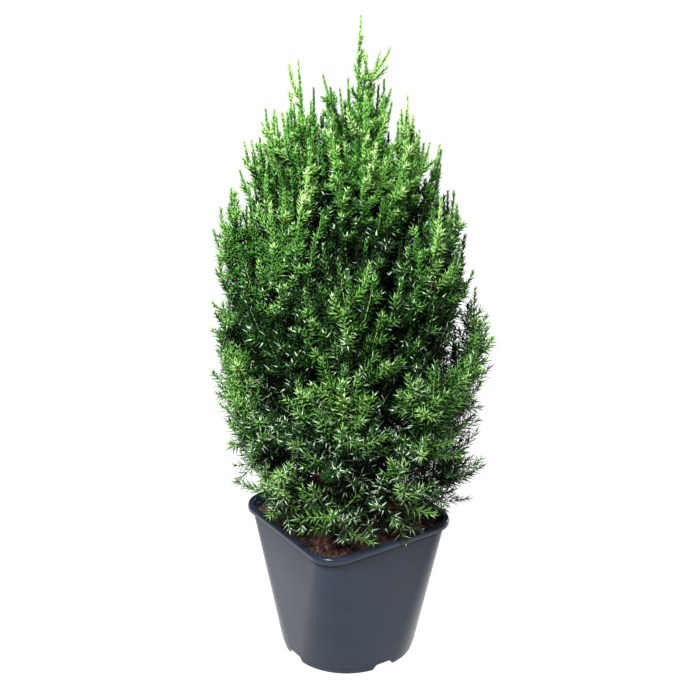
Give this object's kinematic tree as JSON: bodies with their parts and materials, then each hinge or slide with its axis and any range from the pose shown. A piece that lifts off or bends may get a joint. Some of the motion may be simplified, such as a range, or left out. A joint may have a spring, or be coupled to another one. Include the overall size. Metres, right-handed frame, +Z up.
{
  "type": "potted juniper",
  "caption": "Young upright juniper with dense short-needled foliage, standing in a square tapered nursery pot filled with soil.",
  "frame": {"origin": "on the ground under the middle of the pot, which is also the middle of the whole plant's outline", "axes": "+Z up along the trunk; the pot's four faces look along +X, -X, +Y and -Y"},
  "size_m": [0.2466, 0.2529, 0.619],
  "materials": {
    "pot": "satin slate-grey moulded plastic",
    "soil": "dark damp potting soil",
    "bark": "fibrous red-brown bark",
    "needles": "fresh green needles"
  },
  "bodies": {
    "root": {"pot": "pot", "soil": "soil", "trunk": "bark", "bough_01": "bark", "bough_02": "bark", "bough_03": "bark", "bough_04": "bark", "bough_05": "bark", "bough_06": "bark", "bough_07": "bark", "bough_08": "bark", "bough_09": "bark", "bough_10": "bark", "bough_11": "bark", "bough_12": "bark", "bough_13": "bark", "bough_14": "bark", "bough_15": "bark", "bough_16": "bark", "bough_17": "bark", "bough_18": "bark", "bough_19": "bark", "bough_20": "bark", "bough_21": "bark", "bough_22": "bark", "bough_23": "bark", "bough_24": "bark", "bough_25": "bark", "bough_26": "bark", "bough_27": "bark", "foliage_01": "needles", "foliage_02": "needles", "foliage_03": "needles", "foliage_04": "needles", "foliage_05": "needles", "foliage_06": "needles", "foliage_07": "needles", "foliage_08": "needles", "foliage_09": "needles", "foliage_10": "needles", "foliage_11": "needles", "foliage_12": "needles", "foliage_13": "needles", "foliage_14": "needles", "foliage_15": "needles", "foliage_16": "needles", "foliage_17": "needles", "foliage_18": "needles", "foliage_19": "needles", "foliage_20": "needles", "foliage_21": "needles", "foliage_22": "needles", "foliage_23": "needles", "foliage_24": "needles", "foliage_25": "needles", "foliage_26": "needles", "foliage_27": "needles", "foliage_leader": "needles"}
  },
  "joints": []
}
